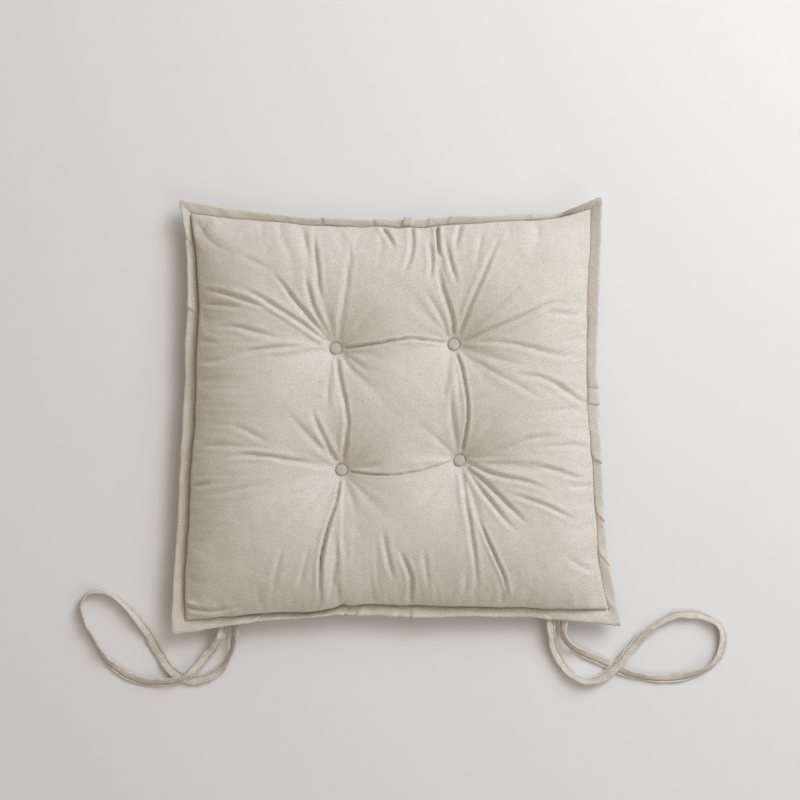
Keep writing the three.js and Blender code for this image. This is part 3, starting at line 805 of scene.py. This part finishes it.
def tie_loop(side, route, seed):
    frames = route_frames(route, STRAP_STEP)
    strap = finish_piece(strap_mesh(f"tie_loop_cover_{side}", frames, seed), STRAP, "strap_fabric",
                         f"tie_loop_{side}")
    points, ahead, across, through, _ = route_frames(route, STITCH_SPACING)
    rows = []
    for face in (1, -1):
        at = points + across * STITCH_PLACE[0] + through * STITCH_PLACE[1] * face
        rows.append((at[1:-1], ahead[1:-1], (through * face)[1:-1]))
    centres, along, upward = (np.concatenate(column) for column in zip(*rows))
    sewing = stitches(f"tie_stitching_{side}", centres, along, upward, *STRAP_STITCH)
    finish_piece(sewing, THREAD, "thread")


tie_loop("left", LEFT_ROUTE, 3)
tie_loop("right", RIGHT_ROUTE, 4)

# ---- Flange ----

# The flange is twisted near the front right corner: how far along the front, and how far it stands up.
TWIST_PLACE = 0.925
TWIST_LIFT = 12
STITCH_LINE = 0.08  # how far the seam's stitches are from the seam, as a share of the flange's width

# How far the flange's outer edge turns up, at equal steps along each side.
UPTURN = {
    "rear": [2.2, 3.6, 5.8, 6.4, 5.4, 4.0, 4.8, 4.8, 3.4, 1.6, 2.2],
    "right": [2.2, 2.6, 2.4, 2.8, 3.2, 2.4, 3.8, 4.6, 5.0, 4.8, 3.4],
    "front": [3.2, 4.4, 4.8, 4.6, 4.4, 4.2, 3.6, 3.4, 1.4, 0.2, 3.4],
    "left": [2.6, 3.0, 3.2, 3.0, 3.2, 2.8, 2.8, 2.6, 3.0, 3.2, 3.2],
}

# Tucks in the flange: the side, how far along it, and how high the upper edge of the tuck stands. It
# stands up on the side towards the start of the loop, or on the other side if the height is negative.
TUCKS = [
    ("left", 0.75, 1.8), ("left", 0.905, -1.2), ("front", 0.337, 1.3), ("front", 0.461, 1.3),
    ("front", 0.53, 3.2), ("front", 0.553, -2.2), ("front", 0.592, 1.6), ("front", 0.642, 1.2),
    ("front", 0.833, 1.5), ("right", 0.557, -1.2), ("right", 0.516, -2.0), ("right", 0.379, -1.8),
    ("right", 0.244, -1.5), ("right", 0.145, -1.3), ("right", 0.735, 1.0), ("rear", 0.185, 1.5),
    ("rear", 0.385, 2.2), ("rear", 0.411, -1.5), ("rear", 0.502, 1.2), ("rear", 0.534, -1.6),
    ("rear", 0.723, 1.1), ("rear", 0.842, 1.1),
]
SIDES = ["rear", "right", "front", "left"]  # in the border loop's order
# How far out from the seam, as a share of the flange's width, and half the flange's thickness there.
FLANGE_SECTION = [(0.0, 1.5), (0.03, 1.6), (0.07, 1.85), (0.15, 2.15), (0.3, 2.35), (0.46, 2.35), (0.62, 2.3),
                  (0.78, 2.1), (0.9, 1.7), (0.96, 1.15), (0.99, 0.5), (1.0, 0.12)]


def loop_share(side, share):
    """How far along its side a point is, in the border loop's direction: the front and left run backwards."""
    return share if side in ("rear", "right") else 1 - share


def loop_place(side, share, count):
    """Where along the border loop, of so many points, a point of one side is."""
    return (SIDES.index(side) + loop_share(side, share)) * count / 4


def loop_noise(rng, cells, count):
    """Smooth noise from about -1 to 1 round a closed loop of points."""
    ring = rng.uniform(-1, 1, cells)
    twice = spline(np.concatenate([ring, ring, ring[:1]]), np.arange(2 * count) / (2 * count))
    return np.roll(twice[count // 2:count // 2 + count], count // 2)


def flange_waves(count):
    """Height of the flange's outer edge over its middle plane, and the tucks' height, round the loop."""
    rng = default_rng(11)
    edge = 0.9 * loop_noise(rng, 34, count) + 0.5 * loop_noise(rng, 120, count)
    share = np.arange(count // 4) / (count // 4)
    edge += np.concatenate([spline(UPTURN[side], loop_share(side, share)) for side in SIDES])
    tucks = np.zeros(count)
    spacing = 4 * SPAN / count
    for side, share, height in TUCKS:
        x = (np.arange(count) - loop_place(side, share, count)) * spacing
        x = np.where(x > count * spacing / 2, x - count * spacing, x)
        x = x * np.sign(height)
        tucks += 1.5 * abs(height) * np.where(x < 0, np.exp(x / 11), -0.5 * np.exp(-x / 2))
    x = (np.arange(count) - loop_place("front", TWIST_PLACE, count)) * spacing
    edge += TWIST_LIFT * np.where(x > 0, np.exp(-x / 1.2), np.exp(-(x / 32) ** 2))
    return edge, tucks


def between(seam, outer, share):
    """Places that are a share of the way from the seam to the outer edge."""
    return seam[:, :2] + (outer - seam[:, :2]) * share


def flange_z(share, thickness, side, edge, tucks):
    """Height of the flange's face at such a share."""
    tucked = tucks * min(1, share * 5) * (0.7 if side > 0 else 0.4)
    return FLANGE_Z + edge * share ** 1.2 + tucked + side * thickness


def flange_rings(seam, outer, side, edge, tucks):
    """Rings of points from the seam to the outer edge, on the upper face (side 1) or the lower (-1)."""
    rings = []
    rng = default_rng(12)
    count = len(seam)
    wander = 0.55 * loop_noise(rng, 60, count) + 0.4 * loop_noise(rng, 190, count) + 0.45 * tucks
    padding = 1 + 0.2 * loop_noise(rng, 90, count) + 0.14 * loop_noise(rng, 260, count)
    reach = np.linalg.norm(outer - seam[:, :2], axis=1)
    outer = between(seam, outer, (1 + wander / reach)[:, None])
    for share, thickness in FLANGE_SECTION:
        thickness = thickness * padding if 0.1 < share < 0.97 else thickness
        z = flange_z(share, thickness, side, edge, tucks)
        rings.append(np.column_stack([between(seam, outer, share), z]))
    return rings


def panel(name, field, side, node):
    """A closed fabric panel: the field inside the seam, the flange, and a coarser inner face."""
    n = len(field)
    seam = around(field)
    outer = outer_loop(n - 1)
    edge, tucks = flange_waves(len(seam))
    rings = flange_rings(seam, outer, side, edge, tucks)
    hem = np.column_stack([between(seam, outer, 0.97), rings[-1][:, 2] - side * 0.05])  # turns inwards
    loop = around(np.arange(n * n).reshape(n, n))
    points = [field.reshape(-1, 3)]
    faces = [grid_faces(n)]
    total = n * n
    for ring in rings[1:] + [hem]:
        points.append(ring)
        new = np.arange(total, total + len(ring))
        faces.append(strip_faces(loop, new))
        loop = new
        total += len(ring)

    inner = inner_face(field, side)
    m = len(inner)
    points.append(inner.reshape(-1, 3))
    faces.append(grid_faces(m, total)[:, ::-1])
    coarse = around(np.arange(m * m).reshape(m, m)) + total
    faces = [list(face) for block in faces for face in block]
    faces += fan_faces(coarse, loop)
    if side < 0:
        faces = [face[::-1] for face in faces]
    points = np.concatenate(points)
    return finish_piece(add_object(name, points, faces, points[:, :2]), COVER, "cover_fabric", node)


def inner_face(field, side):
    """The fabric's inner face, coarser than the field and a little inside its nearest points."""
    n = len(field)
    step = INNER_STEP
    z = field[..., 2] * side
    padded = np.pad(z, step, mode="edge")
    lowest = np.full(z.shape, np.inf)
    for a in range(0, 2 * step + 1, 2):
        for b in range(0, 2 * step + 1, 2):
            lowest = np.minimum(lowest, padded[a:a + n, b:b + n])
    inner = field[::step, ::step].copy()
    lowest_allowed = FLANGE_Z * side + 0.2
    inner[..., 2] = side * np.maximum(lowest[::step, ::step] - FABRIC, lowest_allowed)
    return inner


def fan_faces(coarse, fine):
    """Faces between a coarse loop inside and a fine loop outside it."""
    faces = []
    half = INNER_STEP // 2
    for k, (corner, next_corner) in enumerate(zip(coarse, np.roll(coarse, -1))):
        nearby = [fine[(k * INNER_STEP + i) % len(fine)] for i in range(INNER_STEP + 1)]
        for i in range(INNER_STEP):
            faces.append([corner if i < half else next_corner, nearby[i + 1], nearby[i]])
        faces.append([corner, next_corner, nearby[half]])
    return faces


# ---- Upper and lower panels ----

CLOTH_CELLS = 112  # the cells of the simulated grid, along a side; the lower panel's has half as many
TOP_CELLS = 280
BOTTOM_CELLS = 140
INNER_STEP = 7  # cells of a panel's outer face to one of its inner face
FABRIC = 1.2  # the least thickness of a panel
TOP_CROWN = CROWN_Z - 3.5
BOTTOM_CROWN = -7  # below the floor, which then flattens the panel
# How far round a tuft the panels are drawn in.
TOP_SLOPE = 30
BOTTOM_SLOPE = 26
SETTLE = 0.3  # the share of the upper panel's simulated movement that is kept
# The simulation's pressure, and for how many frames it runs.
TOP_INFLATED = (14, 24)
BOTTOM_INFLATED = (-10, 20)
# How high the folds stand that run out from the tufts, and those along the seam.
STAR_HEIGHT = 1.5
EDGE_HEIGHT = 2.0


def sink_wells(field, tufts, side):
    """Lowers the cover under each button, so that it stands up round the button's rim."""
    distance = tuft_gaps(field[..., :2], tufts).min(axis=0)
    field[..., 2] -= side * WELL * (1 - smooth_step((distance - BUTTON_RADIUS + 0.5) / 1.4))


def shaped_top(n):
    """The upper panel: its roll, dips, folds and creases."""
    field = base_field(n, TOP_TUFTS, TOP_CROWN, full_edge, TOP_SLOPE)
    plan = field[..., :2]
    gap = seam_gap(n)
    folds = star_folds(plan, TOP_TUFTS, STAR_HEIGHT) + edge_folds(n, EDGE_HEIGHT) + creased(plan)
    field[..., 2] += folds * (1 + 0.9 * np.exp(-gap / 9)) * smooth_step(gap / 4)
    return field


def top_field():
    """The upper panel inside the seam, with part of the simulated movement and a fine unevenness."""
    fine = shaped_top(TOP_CELLS + 1)
    coarse = shaped_top(CLOTH_CELLS + 1)
    at_corner = smooth_step(1 - np.hypot(*edge_distance(len(coarse))) / 60)
    patches = smooth_step(0.5 + 0.8 * noise(17, 9, len(coarse)))
    slack = 0.2 * (1 - at_corner) * (1 - 0.7 * patches)
    settled = simulated(coarse, TOP_TUFTS, slack, *TOP_INFLATED)
    fine += SETTLE * resample(settled - coarse, len(fine))
    gap = seam_gap(len(fine))
    uneven = 0.3 * noise(5, 24, len(fine)) + 0.14 * noise(6, 60, len(fine))
    fine[..., 2] += smooth_step(gap / 5) * uneven
    sink_wells(fine, TOP_TUFTS, 1)
    fine[gap < AT_SEAM, 2] = FLANGE_Z + FLANGE_SECTION[0][1]
    return fine


def bottom_field():
    """The lower panel inside the seam, as it was simulated, and flattened where it meets the floor."""
    field = base_field(CLOTH_CELLS // 2 + 1, BOTTOM_TUFTS, BOTTOM_CROWN, rounded_edge, BOTTOM_SLOPE)
    slack = np.full(field.shape[:2], 0.45)
    field = simulated(field, BOTTOM_TUFTS, slack, *BOTTOM_INFLATED)
    fine = resample(field, BOTTOM_CELLS + 1)
    gap = seam_gap(len(fine))
    fine[..., 2] += 0.3 * noise(8, 26, len(fine)) * smooth_step(gap / 6)
    sink_wells(fine, BOTTOM_TUFTS, -1)
    fine[..., 2] = 0.5 * (fine[..., 2] + np.sqrt(fine[..., 2] ** 2 + 0.4)) - 0.02
    fine[gap < AT_SEAM, 2] = FLANGE_Z - FLANGE_SECTION[0][1]
    return fine


upper = top_field()
lower = bottom_field()
top_cover = panel("top_cover", upper, 1, "top_panel")
bottom_cover = panel("bottom_cover", lower, -1, "bottom_panel")

# ---- Filling ----

FILLING_CELLS = 100
FILLING_INSET = 6  # cells that the filling stops short of the seam
FILLING_GAP = 1.2  # between the filling and the covers


def filling():
    """The fibre inside the cover: the covers' inner faces, moved in, with the fibre's own lumps."""
    n = FILLING_CELLS + 1
    lumps = 0.6 * noise(21, 30, n)
    top = resample(inner_face(upper, 1), n)
    bottom = resample(inner_face(lower, -1), n)
    top[..., 2] -= FILLING_GAP + np.abs(lumps)
    bottom[..., 2] += FILLING_GAP + np.abs(lumps[::-1])
    inside = slice(FILLING_INSET, n - FILLING_INSET)
    top = top[inside, inside]
    bottom = bottom[inside, inside]
    middle = (top[..., 2] + bottom[..., 2]) / 2
    half = np.maximum((top[..., 2] - bottom[..., 2]) / 2, 0.4)
    top[..., 2] = middle + half
    bottom[..., 2] = middle - half
    m = len(top)
    faces = [grid_faces(m), grid_faces(m, m * m)[:, ::-1]]
    loop = around(np.arange(m * m).reshape(m, m))
    faces.append(strip_faces(loop, loop + m * m))
    obj = add_object("fibre_batting", np.concatenate([top.reshape(-1, 3), bottom.reshape(-1, 3)]),
                     np.concatenate(faces))
    finish_piece(obj, FIBRE, "fibre", "fibre_filling")


filling()

# ---- Flange stitching ----


def flange_stitching(name, field, side, node):
    """The seam's stitches, in the groove at the foot of the pad's roll."""
    seam = around(field)
    outer = outer_loop(len(field) - 1)
    edge, tucks = flange_waves(len(seam))
    surface = np.interp(STITCH_LINE, *zip(*FLANGE_SECTION))
    z = flange_z(STITCH_LINE, surface, side, edge, tucks)
    line = np.column_stack([between(seam, outer, STITCH_LINE), z])
    path, _ = even_path(np.concatenate([line, line[:1]]), FLANGE_STITCH_SPACING)
    ahead = unit(np.gradient(path, axis=0))
    upward = unit(np.cross(np.cross(ahead, (0, 0, side)), ahead))
    sewing = stitches(name, path[:-1], ahead[:-1], upward[:-1], *FLANGE_STITCH)
    finish_piece(sewing, THREAD, "thread", node)


flange_stitching("needle_stitches", upper, 1, "flange_needle_thread")
flange_stitching("bobbin_stitches", lower, -1, "flange_bobbin_thread")

# ---- Buttons ----

BUTTON_TURNS = 72
# The cover's outer face from the middle of its top to its foot, then its inner face back up.
BUTTON_OUTSIDE = [(0.9, 4.0), (1.8, 3.98), (2.7, 3.94), (3.5, 3.84), (4.2, 3.62), (4.8, 3.22), (5.2, 2.7),
                  (5.42, 2.1), (5.48, 1.6), (5.42, 1.1), (5.25, 0.7), (5.05, 0.4)]
BUTTON_INSIDE = [(4.4, 0.42), (4.75, 0.9), (4.86, 1.7), (4.7, 2.4), (4.1, 3.0), (3.0, 3.35), (1.5, 3.42)]
BUTTON_TOPS = [(0, 0, 4.02), (0, 0, 3.43)]  # the middle of each face's top


def button_cover(side, place, tuft, seed):
    """Fabric pulled over a button: nearly flat on top, with small gathers round its rim."""
    up = 1 if side == "top" else -1
    rng = default_rng(seed)
    turn = np.arange(BUTTON_TURNS) / BUTTON_TURNS * 2 * np.pi
    gather = np.cos(turn * 11 + rng.uniform(0, 6)) * 0.6 + np.cos(turn * 17 + rng.uniform(0, 6)) * 0.4
    points, faces, uv = [], [], []
    section = BUTTON_OUTSIDE + BUTTON_INSIDE
    for index, (r, z) in enumerate(section):
        outside = index < len(BUTTON_OUTSIDE)
        reach = r + (0.09 * smooth_step((r - 3.6) / 1.6) * gather if outside else 0)
        points.append(np.column_stack([reach * np.cos(turn), reach * np.sin(turn), z + 0 * turn]))
        uv.append(points[-1][:, :2] * (1 if outside else 0.9))
        if index:
            a = (index - 1) * BUTTON_TURNS + np.arange(BUTTON_TURNS)
            faces += strip_faces(a, a + BUTTON_TURNS).tolist()
    apex = len(section) * BUTTON_TURNS
    last = apex - BUTTON_TURNS
    for i in range(BUTTON_TURNS):
        j = (i + 1) % BUTTON_TURNS
        faces.append([apex, i, j])
        faces.append([apex + 1, last + j, last + i])
    points = np.concatenate(points + [BUTTON_TOPS])
    uv = np.concatenate(uv + [np.zeros((2, 2))])
    points = points * (1, up, up) + tuft
    obj = add_object(f"button_fabric_{side}_{place}", points, faces, uv)
    finish_piece(obj, SHADED_BUTTON_CLOTH, "cover_fabric", f"button_cover_{side}_{place}")


for index, place in enumerate(PLACES):
    button_cover("top", place, TOP_TUFTS[index], 30 + index)
    button_cover("bottom", place, BOTTOM_TUFTS[index], 40 + index)

# ---- Materials of the CAD pieces that stay ----

KEPT = {"button_cap": CAP_METAL, "button_back": BACK_METAL, "tufting_twine": TWINE, "tie_tack": THREAD}
for node_name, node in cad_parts.items():
    for start, material in KEPT.items():
        if node_name.startswith(start):
            node.data.materials.clear()
            node.data.materials.append(material)

# ---- Floor and light ----

FLOOR_REACH = 30000
FLOOR_Z = -0.05
# Lamps that all point at the pad: place and size in metres, power in watts, and colour.
LAMPS = {
    "key": ((1.53, 1.53, 1.43), 1.2, 36.5, (0.69, 0.82, 1.0)),
    "near_fill": ((0.77, 0.77, 1.3), 1.0, 10.5, (1.0, 0.98, 0.86)),
    "side_fill": ((1.41, -1.41, 1.67), 1.4, 9, (0.87, 0.94, 1.0)),
}
WORLD_COLOR = (1.0, 0.88, 0.76, 1)
WORLD_STRENGTH = 0.415


def floor():
    """A pale matt table top, with a very slight unevenness."""
    corners = [(x * FLOOR_REACH, y * FLOOR_REACH, FLOOR_Z) for x, y in ((-1, -1), (1, -1), (1, 1), (-1, 1))]
    obj = add_object("floor", corners, [(0, 1, 2, 3)])
    made = Shader("pale_floor", {"Roughness": 0.75, "Specular IOR Level": 0.2})
    place = made.node("ShaderNodeTexCoord").outputs["Object"]
    # Painted light: the lamps don't reach far, so the floor glows, paler from 1 m out.
    away = made.node("ShaderNodeVectorMath", {0: place}, operation="LENGTH").outputs["Value"]
    painted_glow = {"Value": away, "From Min": 1.0, "From Max": 3.5, "To Max": 0.34}
    strength = made.node("ShaderNodeMapRange", painted_glow).outputs[0]
    made.feed(made.surface, {"Emission Color": (1.0, 0.98, 0.96, 1), "Emission Strength": strength})
    blots = made.noise(place, 2.2, 2.0)
    grain = made.noise(place, 60.0, 3.0)
    tone = made.mix(made.math("MULTIPLY", blots, grain), (0.76, 0.75, 0.745), (0.72, 0.71, 0.705))
    obj.data.materials.append(made.finish(tone, made.bump(grain, 0.0002, 0.3)))


def area_light(name, place, size, power, color):
    data = bpy.data.lights.new(name, "AREA")
    data.size = size
    data.energy = power
    data.color = color
    lamp = linked(bpy.data.objects.new(name, data))
    lamp.location = place
    lamp.rotation_mode = "QUATERNION"
    lamp.rotation_quaternion = (-Vector(place)).to_track_quat("-Z", "Y")


floor()
for name, lamp in LAMPS.items():
    area_light(name, *lamp)
world = bpy.data.worlds.new("studio")
world.use_nodes = True
background = world.node_tree.nodes["Background"]
background.inputs["Color"].default_value = WORLD_COLOR
background.inputs["Strength"].default_value = WORLD_STRENGTH
bpy.context.scene.world = world
bpy.context.scene.view_settings.view_transform = "Standard"
